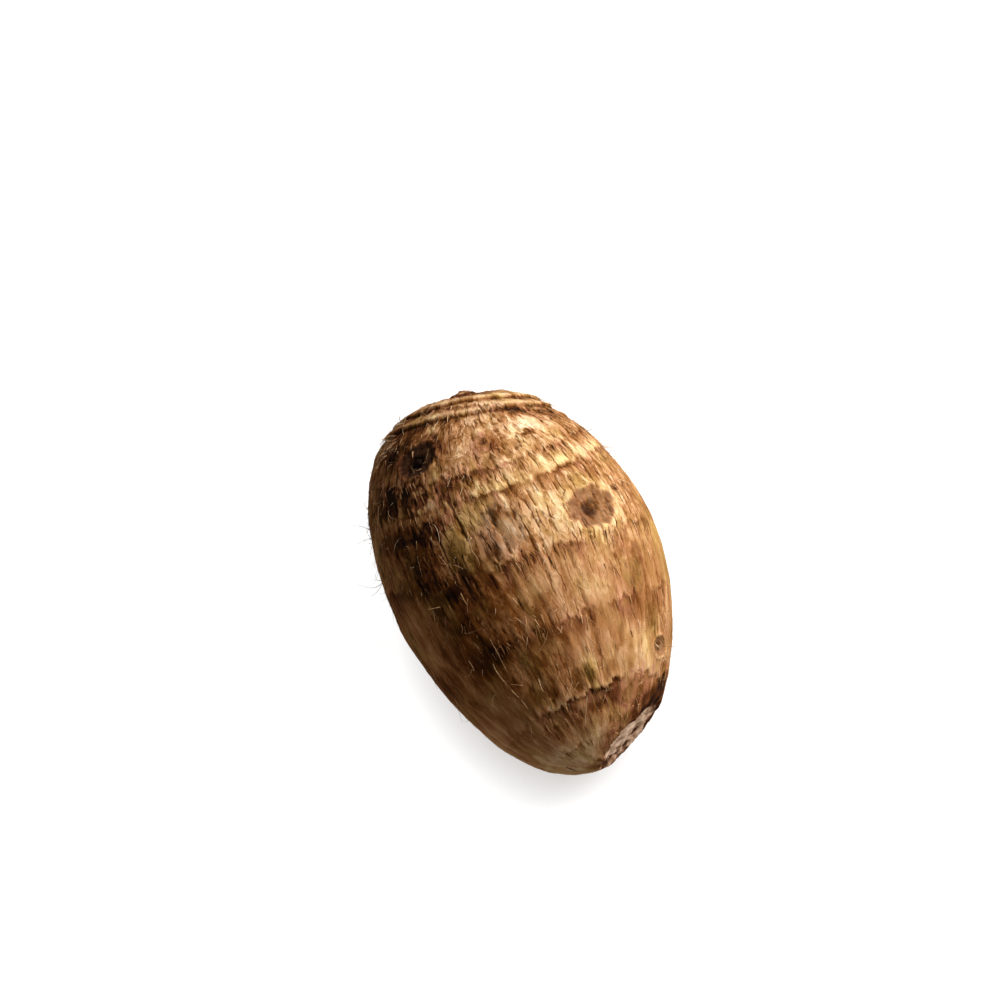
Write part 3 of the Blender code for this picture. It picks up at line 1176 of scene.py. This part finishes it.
@dataclass(frozen=True)
class BarkFinish:
    """Dry, fibrous taro bark, from black gaps to cream where it has peeled."""

    name: str = "taro_bark"
    stops: tuple = (
        (0.00, (0.009, 0.0018, 0.0003)),
        (0.18, (0.038, 0.0085, 0.0006)),
        (0.38, (0.130, 0.0400, 0.0052)),
        (0.56, (0.290, 0.1300, 0.0460)),
        (0.72, (0.455, 0.2580, 0.1280)),
        (0.86, (0.585, 0.4000, 0.2400)),
        (1.00, (0.700, 0.5350, 0.3600)),
    )
    red_stops: tuple = (
        (0.00, (0.010, 0.0025, 0.0006)),
        (0.30, (0.090, 0.0240, 0.0055)),
        (0.60, (0.310, 0.1240, 0.0600)),
        (1.00, (0.650, 0.3800, 0.2400)),
    )
    ochre_stops: tuple = (
        (0.00, (0.008, 0.0030, 0.0005)),
        (0.35, (0.106, 0.0510, 0.0075)),
        (0.65, (0.360, 0.2040, 0.0640)),
        (1.00, (0.700, 0.5200, 0.2500)),
    )
    ash_stops: tuple = (
        (0.00, (0.012, 0.007, 0.004)),
        (0.35, (0.120, 0.070, 0.038)),
        (0.70, (0.350, 0.225, 0.135)),
        (1.00, (0.640, 0.500, 0.380)),
    )
    flesh_stops: tuple = (
        (0.12, (0.060, 0.024, 0.010)),
        (0.34, (0.280, 0.155, 0.095)),
        (0.52, (0.540, 0.340, 0.225)),
        (0.80, (0.860, 0.640, 0.490)),
    )

    threads: Weave = Weave(0.42, 2.6, 4.0, 0.60)
    strands: Weave = Weave(1.1, 4.8, 4.0, 0.60, 0.3)
    peel: Weave = Weave(2.4, 6.0, 6.0, 0.62, 0.5)
    speckle: Weave = Weave(0.60, 0.8, 3.0, 0.6)
    stain_and_shadow: Weave = Weave(7.0, 9.0, 3.0, 0.55)
    flesh: Weave = Weave(2.0, 2.0, 6.0, 0.58, 0.4)
    cracks: Dashes = Dashes((2.7, 8.5), 0.60, 1.2)
    nicks: Dashes = Dashes((1.9, 3.4), 0.40, 1.0, (0.5, 0.3, 0.0))
    comb: Dashes = Dashes((2.1, 10.0), 0.85, 1.5, (0.2, 0.7, 0.0))
    sway_pitch: tuple = (280.0, 280.0, 280.0)
    sway_reach: tuple = (2.2 * MM, 2.2 * MM, 1.0 * MM)
    relief: float = 0.24 * MM

    def material(self) -> bpy.types.Material:
        """Build the material.

        Returns:
            The material.
        """
        board = Board(self.name)
        grain = board.attribute("grain", "Vector")
        sway = self._sway(board, grain)
        grain = board.shifted(grain, sway)
        sheet = board.shifted(board.node("ShaderNodeUVMap", {"uv_map": "sheet"}, {}), sway)
        crackle = board.attribute("crackle")
        # Dark gaps, and painted shadow and shade, carried by the mesh.
        gap = board.attribute("gap")
        threads = self.threads.on(board, grain)
        strands = self.strands.on(board, grain)
        peel = self.peel.on(board, grain)
        speckle = self.speckle.on(board, grain)
        stain_and_shadow = self.stain_and_shadow.on(board, grain)
        peeled = peel.rise(0.49, 0.55)
        nicks = 0.55 * self.nicks.on(board, sheet)
        line = self.cracks.on(board, sheet).most(nicks) * (0.30 + 0.70 * crackle)
        line = line.most(self.comb.on(board, sheet) * board.attribute("comb"))
        tone = board.attribute("tone") + (0.12 + 0.38 * crackle) * (threads - 0.5)
        tone = tone + (0.09 + 0.24 * crackle) * (strands - 0.5)
        tone = tone + (0.02 + 0.16 * crackle) * (peeled - 0.45)
        tone = tone + (0.05 + 0.11 * crackle) * (speckle - 0.5)
        tone = tone + 0.20 * (stain_and_shadow - 0.5) - 0.34 * line - 0.40 * gap
        yellowish = 0.4 * stain_and_shadow.rise(0.50, 0.66) + board.attribute("ochre")
        ruddy = board.attribute("red") * peel.rise(0.36, 0.60) + 0.5 * line
        greyish = board.attribute("ash") * strands.rise(0.35, 0.6)
        bark = board.ramp(tone, self.stops)
        bark = board.mix(yellowish, bark, board.ramp(tone, self.ochre_stops))
        bark = board.mix(ruddy, bark, board.ramp(tone, self.red_stops))
        bark = board.mix(greyish, bark, board.ramp(tone, self.ash_stops))
        colour = board.mix(board.attribute("flesh"), bark, self._flesh(board, gap))
        height = 0.6 * threads + 0.7 * strands + 0.45 * peeled + 0.35 * speckle
        height = (height - 0.9 * line) * (0.45 + 0.55 * crackle)
        rough = 0.80 - 0.12 * (threads - 0.5) - 0.06 * peeled
        return board.finish(Base_Color=colour, Roughness=rough, Specular_IOR_Level=0.08,
                            Normal=board.bump(height, self.relief, 0.8))

    def _sway(self, board: Board, grain: Signal) -> Signal:
        """How far the fibres wander from straight lines.

        Args:
            board: Where the nodes go.
            grain: Place along the grain.

        Returns:
            A move for each place.
        """
        place = board.scaled(grain, self.sway_pitch)
        wander = board.node("ShaderNodeTexNoise", {},
                            {"Vector": place, "Scale": 1.0, "Detail": 2.0}, "Color")
        return board.scaled(board.shifted(wander, (-0.5, -0.5, -0.5)), self.sway_reach)

    def _flesh(self, board: Board, gap: Signal) -> Signal:
        """Colour of the dry flesh at the broken end.

        Args:
            board: Where the nodes go.
            gap: 1 in a gap of the bark and in painted shade, and 0 elsewhere.

        Returns:
            The colour.
        """
        mottle = self.flesh.on(board, board.node("ShaderNodeTexCoord", {}, {}, "Object"))
        tone = 1.5 * mottle + board.attribute("tone") - 0.85 - 0.60 * gap
        return board.ramp(tone, self.flesh_stops)


@dataclass(frozen=True)
class FibreFinish:
    """Dry fibre, whose shade differs from one fibre to the next."""

    name: str
    stops: tuple
    rough: float = 0.55
    shine: float = 0.4

    def material(self) -> bpy.types.Material:
        """Build the material.

        Returns:
            The material.
        """
        board = Board(self.name)
        place = board.node("ShaderNodeTexCoord", {}, {}, "Object")
        mottle = board.noise(place, 0.8 * MM, 0.8 * MM, 2.0)
        shade = board.attribute("shade") + 0.35 * (mottle - 0.5)
        return board.finish(Base_Color=board.ramp(shade, self.stops),
                            Roughness=self.rough + 0.2 * (mottle - 0.5),
                            Specular_IOR_Level=self.shine)


@dataclass(frozen=True)
class FloorFinish:
    """Matt white studio paper that glows evenly, with a painted contact shadow that dims its glow
    near the corm.
    """

    name: str = "studio_paper"
    colour: tuple = (0.20, 0.20, 0.20)
    tooth_colour: tuple = (0.16, 0.16, 0.16)
    open_glow: tuple = (1.0, 1.0, 1.0)
    shadow_glow: tuple = (0.40, 0.37, 0.35)
    glow: float = 0.985
    reach: float = 0.013

    def material(self) -> bpy.types.Material:
        """Build the material.

        Returns:
            The material.
        """
        board = Board(self.name)
        place = board.node("ShaderNodeTexCoord", {}, {}, "Object")
        tooth = board.noise(place, 0.6 * MM, 0.6 * MM, 2.0)
        shade = board.mix(0.04 * tooth, self.colour, self.tooth_colour)
        # Painted contact shadow: the glow dims towards shadow_glow where the corm is near.
        clear_of_painted_shadow = board.node("ShaderNodeAmbientOcclusion", {"samples": 2},
                              {"Distance": self.reach}, "AO")
        glow = board.mix(clear_of_painted_shadow, self.shadow_glow, self.open_glow)
        return board.finish(Base_Color=shade, Roughness=0.9, Specular_IOR_Level=0.0,
                            Emission_Color=glow, Emission_Strength=self.glow)


# ---------------------------------------------------------------- pieces


def dress(piece: bpy.types.Object, material: bpy.types.Material) -> None:
    """Give a piece one material, smooth faces and its ride.

    Args:
        piece: The piece.
        material: Its material.
    """
    piece.data.materials.clear()
    piece.data.materials.append(material)
    piece.data.shade_smooth()
    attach(piece, BODY)


def carry(mesh: bpy.types.Mesh, name: str, values: np.ndarray, kind: str = "FLOAT") -> None:
    """Store one value for each vertex of a mesh.

    Args:
        mesh: The mesh.
        name: Name of the attribute.
        values: One value, or one row of three, for each vertex.
        kind: Blender's name for the type of value.
    """
    stored = mesh.attributes.new(name, kind, "POINT")
    stored.data.foreach_set("vector" if kind == "FLOAT_VECTOR" else "value",
                            np.ascontiguousarray(values, dtype=np.float32).ravel())


@dataclass
class CormSkin:
    """The whole skin of the corm, one closed mesh in place of the plain solid."""

    egg: Egg
    survey: BarkSurvey
    finish: BarkFinish = field(default_factory=BarkFinish)
    halvings: int = 7

    def build(self) -> bpy.types.Object:
        """Make the skin, shape it and dress it.

        Returns:
            The skin.
        """
        piece = self._block()
        mesh = piece.data
        corners = np.empty(len(mesh.vertices) * 3)
        mesh.vertices.foreach_get("co", corners)
        station, angle = self._spread(corners.reshape(-1, 3))
        bark = self.survey.look(station, angle)
        places = self.egg.place(station, angle, bark.height, bark.scar_height)
        mesh.vertices.foreach_set("co", places.ravel())
        self._carry_bark(mesh, bark, station, angle)
        mesh.update()
        dress(piece, self.finish.material())
        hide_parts(NODE)
        return piece

    def _block(self) -> bpy.types.Object:
        """Add a cube and halve all its edges again and again.

        Returns:
            The cube, cut into small squares.
        """
        bpy.ops.object.select_all(action="DESELECT")
        bpy.ops.mesh.primitive_cube_add(size=2, calc_uvs=False)
        piece = bpy.context.object
        piece.name = "corm_skin"
        bpy.ops.object.mode_set(mode="EDIT")
        bpy.ops.mesh.select_all(action="SELECT")
        for _ in range(self.halvings):
            bpy.ops.mesh.subdivide(number_cuts=1)
        bpy.ops.object.mode_set(mode="OBJECT")
        return piece

    def _spread(self, corners: np.ndarray) -> tuple[np.ndarray, np.ndarray]:
        """Turn places on the cube into evenly spread stations and angles.

        Args:
            corners: Places on a cube that reaches from -1 to 1.

        Returns:
            Station and angle of each.
        """
        ball = np.tan(corners * math.pi / 4)
        ball /= np.linalg.norm(ball, axis=1)[:, None]
        share = np.arccos(np.clip(-ball[:, 0], -1, 1)) / math.pi
        return self.egg.station_at(share), np.arctan2(ball[:, 1], ball[:, 2])

    def _carry_bark(self, mesh: bpy.types.Mesh, bark: Bark, station: np.ndarray,
                    angle: np.ndarray) -> None:
        """Store on the mesh what its material reads.

        Args:
            mesh: Mesh of the skin.
            bark: The bark at each vertex.
            station: Place along the axis.
            angle: Angle about the axis, in radians.
        """
        carry(mesh, "tone", bark.tone)
        carry(mesh, "red", bark.red)
        carry(mesh, "ash", bark.ash)
        carry(mesh, "ochre", np.clip(bark.ochre, 0, 1))
        carry(mesh, "comb", np.clip(bark.comb, 0, 1))
        carry(mesh, "gap", bark.gap)
        carry(mesh, "crackle", np.clip(bark.crackle, 0, 1))
        carry(mesh, "flesh", bark.flesh)
        carry(mesh, "grain", self.egg.grain(station, angle), "FLOAT_VECTOR")
        loops = np.empty(len(mesh.loops), dtype=np.int64)
        mesh.loops.foreach_get("vertex_index", loops)
        station, angle = self.egg.combed(station, angle)
        around = angle[loops].reshape(-1, 4)
        split = (around.max(1) - around.min(1) > math.pi)[:, None] & (around < 0)
        around = np.where(split, around + 2 * math.pi, around).ravel()
        unrolled = np.stack([around * self.egg.girth_radius,
                             self.egg.skin_length(station)[loops]], axis=-1)
        layer = mesh.uv_layers.new(name="sheet")
        layer.uv.foreach_set("vector", unrolled.astype(np.float32).ravel())


class Strip(Enum):
    """What a strand of the bark is modelled from."""

    HAIR = "hair"
    SLIVER = "sliver"


STRIP_CUTS = {Strip.HAIR: 4, Strip.SLIVER: 3}


@dataclass
class Strands:
    """Many thin strands, each a bent copy of one that is modelled once."""

    name: str
    strip: Strip
    egg: Egg
    survey: BarkSurvey
    finish: FibreFinish
    count: int
    seed: int
    length: tuple
    width: tuple
    lift: tuple
    swing: float
    curl: float
    on_rings: float
    on_tufts: float = 0.0
    flatness: float = 1.0
    tufts: tuple = TUFTS
    bud_pull: float = 0.020
    pull: float = 4.0
    droop: float = 0.35
    sunk: float = 0.05 * MM
    clearance: float = 0.05 * MM
    step: float = 0.004
    tries_each: int = 14
    belly_degrees: float = 150.0

    def build(self) -> bpy.types.Object:
        """Grow the strands on the skin and dress them.

        Returns:
            All the strands, in one piece.
        """
        draws = np.random.default_rng(self.seed)
        station, angle = self._scatter(draws)
        root, down, out = self._footing(station, angle)
        side = np.cross(down, out)
        swing = draws.normal(0, self.swing, self.count)[:, None]
        lift = draws.uniform(*self.lift, self.count)[:, None]
        level = down * np.cos(swing) + side * np.sin(swing)
        heading = level * np.cos(lift) + out * np.sin(lift)
        across = np.cross(heading, out)
        across /= np.linalg.norm(across, axis=1)[:, None]
        length = draws.uniform(*self.length, self.count)[:, None]
        width = draws.uniform(*self.width, self.count)[:, None]
        bend = self.curl * draws.normal(0, 1, (self.count, 3))
        bend -= self.droop * out * np.sin(lift)
        twist = self.curl * draws.normal(0, 0.8, (self.count, 3))
        points, faces = self._pattern()
        share = points[:, 2][None, :, None]
        line = root[:, None] + length[:, None] * (share * heading[:, None]
                                                  + share ** 2 * bend[:, None]
                                                  + share ** 3 * twist[:, None])
        upright = np.cross(across, heading)
        spread = (points[None, :, 0:1] * across[:, None]
                  + self.flatness * points[None, :, 1:2] * upright[:, None])
        places = line + spread * width[:, None]
        places[..., 2] = np.maximum(places[..., 2], self.clearance)
        piece = self._join(places, faces)
        shade = draws.uniform(0, 1, self.count)
        carry(piece.data, "shade", np.repeat(shade, len(points)))
        dress(piece, self.finish.material())
        return piece

    def _scatter(self, draws: np.random.Generator) -> tuple[np.ndarray, np.ndarray]:
        """Choose where the strands stand, more of them by the rings.

        Args:
            draws: Where the random numbers come from.

        Returns:
            Station and angle of each strand.
        """
        tries = self.count * self.tries_each
        station = self.egg.station_at(draws.random(tries))
        angle = draws.uniform(-math.pi, math.pi, tries)
        at = Places.on(self.egg, station, angle)
        likely = at.radius / self.egg.girth_radius * self._nearness(at)
        likely *= self.egg.beyond_scar(station, angle) < -0.2 * MM
        likely *= np.abs(angle) < math.radians(self.belly_degrees)
        low_side = smoothstep(0.35, 0.50, station) * smoothstep(0.8, 1.3, np.abs(angle))
        likely *= 1 - 0.9 * low_side
        chosen = draws.choice(tries, self.count, replace=False, p=likely / likely.sum())
        return station[chosen], angle[chosen]

    def _nearness(self, at: Places) -> np.ndarray:
        """How much likelier a strand is here than in the open, by the rings and in the tufts.

        Args:
            at: The places.

        Returns:
            How likely, 1 in the open away from any clump.
        """
        likely = np.ones_like(at.station)
        for ring in RINGS:
            here = self.on_rings * ring.lip / MM * min(2 * ring.ragged, 1)
            likely += here * np.exp(-((ring.offset(at) - 0.3 * MM) / (1.3 * MM)) ** 2)
        for station, degrees, spread, gain in self.tufts:
            across = at.beside(degrees) * at.radius
            near = np.exp(-(across ** 2 + at.past(station) ** 2) / (spread * MM) ** 2)
            likely += self.on_tufts * gain * near
        clumps = at.lumps(9, 9, 40 + self.seed, 2)
        return likely * np.clip(0.5 + 1.6 * clumps, 0.03, 2)

    def _footing(self, station: np.ndarray, angle: np.ndarray) -> tuple:
        """Place, grain direction and outward direction of the skin at each strand.

        Args:
            station: Place along the axis.
            angle: Angle about the axis, in radians.

        Returns:
            The three, with one row for each strand.
        """
        height = self.survey.look(station, angle).height - self.sunk
        root = self.egg.place(station, angle, height)
        down = (self.egg.place(np.minimum(station + self.step, 1), angle, height)
                - self.egg.place(np.maximum(station - self.step, 0), angle, height))
        around = (self.egg.place(station, angle + self.step, height)
                  - self.egg.place(station, angle - self.step, height))
        bud = self.egg.place(np.array([self.egg.bud_station]),
                             np.radians([self.egg.bud_degrees]), np.zeros(1))
        away = root - bud
        far = np.linalg.norm(away, axis=1)[:, None] + MM
        down = down / np.linalg.norm(down, axis=1)[:, None]
        out = np.cross(around, down)
        inward = np.sum(out * (root - root.mean(0)), axis=1) < 0
        out[inward] *= -1
        out /= np.linalg.norm(out, axis=1)[:, None]
        down = down + self.pull * np.exp(-(far / self.bud_pull) ** 2) * away / far
        down -= np.sum(down * out, axis=1)[:, None] * out
        down /= np.linalg.norm(down, axis=1)[:, None]
        return root, down, out

    def _pattern(self) -> tuple[np.ndarray, np.ndarray]:
        """Model one strand, upright and one long, and read its shape.

        Returns:
            Its points and its triangles.
        """
        bpy.ops.object.select_all(action="DESELECT")
        if self.strip is Strip.HAIR:
            bpy.ops.mesh.primitive_cone_add(vertices=3, radius1=1.0, radius2=0.35, depth=1.0,
                                            location=(0, 0, 0.5), calc_uvs=False)
        else:
            bpy.ops.mesh.primitive_cube_add(size=1, location=(0, 0, 0.5), calc_uvs=False)
        piece = bpy.context.object
        bpy.ops.object.transform_apply(location=True, rotation=False, scale=False)
        mesh = piece.data
        for edge in mesh.edges:
            ends = [mesh.vertices[number].co.z for number in edge.vertices]
            edge.select = abs(ends[0] - ends[1]) > 0.5
        for polygon in mesh.polygons:
            polygon.select = False
        bpy.ops.object.mode_set(mode="EDIT")
        bpy.ops.mesh.select_mode(type="EDGE")
        bpy.ops.mesh.subdivide(number_cuts=STRIP_CUTS[self.strip])
        bpy.ops.mesh.select_all(action="SELECT")
        bpy.ops.mesh.quads_convert_to_tris()
        bpy.ops.object.mode_set(mode="OBJECT")
        points = np.array([vertex.co[:] for vertex in mesh.vertices])
        faces = np.array([polygon.vertices[:] for polygon in mesh.polygons])
        if self.strip is Strip.SLIVER:
            narrowing = 1 - 0.85 * np.clip(points[:, 2], 0, 1) ** 1.5
            points[:, 0] *= narrowing
            points[:, 1] *= 0.5 + 0.5 * narrowing
        bpy.data.objects.remove(piece, do_unlink=True)
        return points, faces

    def _join(self, places: np.ndarray, faces: np.ndarray) -> bpy.types.Object:
        """Make one mesh of all the bent copies.

        Args:
            places: Points of each strand.
            faces: Triangles of one strand.

        Returns:
            The piece.
        """
        number = places.shape[1]
        triangles = (faces[None] + np.arange(self.count)[:, None, None] * number).reshape(-1, 3)
        mesh = bpy.data.meshes.new(self.name)
        mesh.vertices.add(places.size // 3)
        mesh.vertices.foreach_set("co", places.ravel())
        mesh.loops.add(triangles.size)
        mesh.loops.foreach_set("vertex_index", triangles.ravel())
        mesh.polygons.add(len(triangles))
        mesh.polygons.foreach_set("loop_start", np.arange(len(triangles)) * 3)
        mesh.update(calc_edges=True)
        mesh.validate()
        piece = bpy.data.objects.new(self.name, mesh)
        bpy.context.scene.collection.objects.link(piece)
        return piece


# ---------------------------------------------------------------- studio


@dataclass(frozen=True)
class Lamp:
    """A square soft light that looks at the corm."""

    name: str
    direction: tuple
    distance: float
    size: float
    watts: float
    colour: tuple


@dataclass
class Studio:
    """Floor, soft lights and camera."""

    azimuth: float = 64.6
    elevation: float = 58.0
    distance: float = 0.753
    lens: float = 100.0
    aim: tuple = (-0.0274, 0.0050, -0.0071)
    floor_size: float = 8.0
    sky: tuple = (
        (0.30, (0.32, 0.250, 0.170)),
        (0.49, (0.38, 0.305, 0.215)),
        (0.50, (0.85, 0.840, 0.820)),
        (0.55, (0.80, 0.790, 0.770)),
        (0.63, (0.09, 0.082, 0.072)),
        (1.00, (0.09, 0.082, 0.072)),
    )
    lamps: tuple = (
        Lamp("key", (-0.075, 0.684, 0.728), 0.75, 0.60, 15.0, (1.0, 0.98, 0.94)),
    )

    def build(self) -> None:
        """Make the floor, the lights and the camera."""
        self._floor()
        low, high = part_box(NODE)
        centre = (low + high) / 2
        for lamp in self.lamps:
            self._light(lamp, centre)
        self._sky()
        self._camera(centre + Vector(self.aim))
        bpy.context.scene.view_settings.view_transform = "Standard"

    def _floor(self) -> None:
        """A wide sheet of white paper that glows, with a painted contact shadow."""
        bpy.ops.object.select_all(action="DESELECT")
        bpy.ops.mesh.primitive_plane_add(size=self.floor_size, calc_uvs=False)
        floor = bpy.context.object
        floor.name = "floor"
        floor.data.materials.append(FloorFinish().material())
        floor.visible_diffuse = False
        floor.visible_glossy = False

    def _light(self, lamp: Lamp, centre: Vector) -> None:
        """Hang one light.

        Args:
            lamp: The light.
            centre: What it looks at.
        """
        data = bpy.data.lights.new(lamp.name, "AREA")
        data.size = lamp.size
        data.energy = lamp.watts
        data.color = lamp.colour
        light = bpy.data.objects.new(lamp.name, data)
        bpy.context.scene.collection.objects.link(light)
        towards = Vector(lamp.direction).normalized()
        light.location = centre + towards * lamp.distance
        light.rotation_euler = towards.to_track_quat("Z", "Y").to_euler()

    def _sky(self) -> None:
        """A pale horizon, a dim sky, and the warm light that comes back up off a floor."""
        world = bpy.data.worlds.new("studio_air")
        world.use_nodes = True
        tree = world.node_tree
        look = tree.nodes.new("ShaderNodeTexCoord")
        parts = tree.nodes.new("ShaderNodeSeparateXYZ")
        height = tree.nodes.new("ShaderNodeMapRange")
        height.inputs["From Min"].default_value = -1.0
        colour = tree.nodes.new("ShaderNodeValToRGB")
        Board.set_stops(colour.color_ramp, self.sky)
        tree.links.new(look.outputs["Generated"], parts.inputs["Vector"])
        tree.links.new(parts.outputs["Z"], height.inputs["Value"])
        tree.links.new(height.outputs["Result"], colour.inputs["Fac"])
        tree.links.new(colour.outputs["Color"], tree.nodes["Background"].inputs["Color"])
        bpy.context.scene.world = world

    def _camera(self, target: Vector) -> None:
        """Stand the camera so that it looks down on the corm's root end.

        Args:
            target: What it looks at.
        """
        turn, rise = math.radians(self.azimuth), math.radians(self.elevation)
        back = Vector((math.sin(turn) * math.cos(rise), -math.cos(turn) * math.cos(rise),
                       math.sin(rise)))
        data = bpy.data.cameras.new("camera")
        data.lens = self.lens
        camera = bpy.data.objects.new("camera", data)
        bpy.context.scene.collection.objects.link(camera)
        camera.location = target + back * self.distance
        camera.rotation_euler = back.to_track_quat("Z", "Y").to_euler()
        bpy.context.scene.camera = camera


PALE_FIBRE = FibreFinish("pale_fibre", (
    (0.0, (0.300, 0.150, 0.060)),
    (0.5, (0.520, 0.310, 0.150)),
    (1.0, (0.750, 0.560, 0.360)),
))
BARK_FIBRE = FibreFinish("bark_fibre", (
    (0.0, (0.070, 0.026, 0.008)),
    (0.3, (0.180, 0.078, 0.026)),
    (0.7, (0.350, 0.180, 0.075)),
    (1.0, (0.540, 0.330, 0.165)),
), 0.75, 0.1)


def main() -> None:
    """Build the corm, its fibres and the studio."""
    logging.basicConfig(level=logging.INFO, format="%(message)s")
    egg = Egg()
    survey = BarkSurvey(egg)
    Studio().build()
    makers = (
        CormSkin(egg, survey),
        Strands("dry_fibres", Strip.HAIR, egg, survey, PALE_FIBRE, count=800, seed=5,
                length=(1.0 * MM, 4.5 * MM), width=(0.035 * MM, 0.065 * MM),
                lift=(0.05, 0.9), swing=0.8, curl=0.30, on_rings=3.0, on_tufts=4.0),
        Strands("long_hairs", Strip.HAIR, egg, survey, PALE_FIBRE, count=70, seed=9,
                length=(3.5 * MM, 8.0 * MM), width=(0.06 * MM, 0.10 * MM),
                lift=(0.25, 1.1), swing=2.0, curl=0.35, on_rings=0.0, on_tufts=400.0,
                tufts=EDGE_TUFTS),
        Strands("laid_hairs", Strip.HAIR, egg, survey, PALE_FIBRE, count=26, seed=10,
                length=(3.0 * MM, 9.0 * MM), width=(0.05 * MM, 0.09 * MM),
                lift=(0.02, 0.12), swing=0.20, curl=0.12, on_rings=0.0, on_tufts=60.0,
                tufts=LAID_TUFTS),
        Strands("ring_fringe", Strip.HAIR, egg, survey, BARK_FIBRE, count=2200, seed=6,
                length=(0.8 * MM, 2.8 * MM), width=(0.04 * MM, 0.07 * MM),
                lift=(0.02, 0.22), swing=0.20, curl=0.08, on_rings=30.0),
        Strands("bark_slivers", Strip.SLIVER, egg, survey, BARK_FIBRE, count=600, seed=7,
                length=(1.2 * MM, 4.0 * MM), width=(0.18 * MM, 0.5 * MM),
                lift=(0.01, 0.10), swing=0.10, curl=0.03, on_rings=20.0, flatness=0.20),
    )
    for maker in makers:
        piece = maker.build()
        LOG.info("%s: %d faces", piece.name, len(piece.data.polygons))


if __name__ == "__main__":
    main()
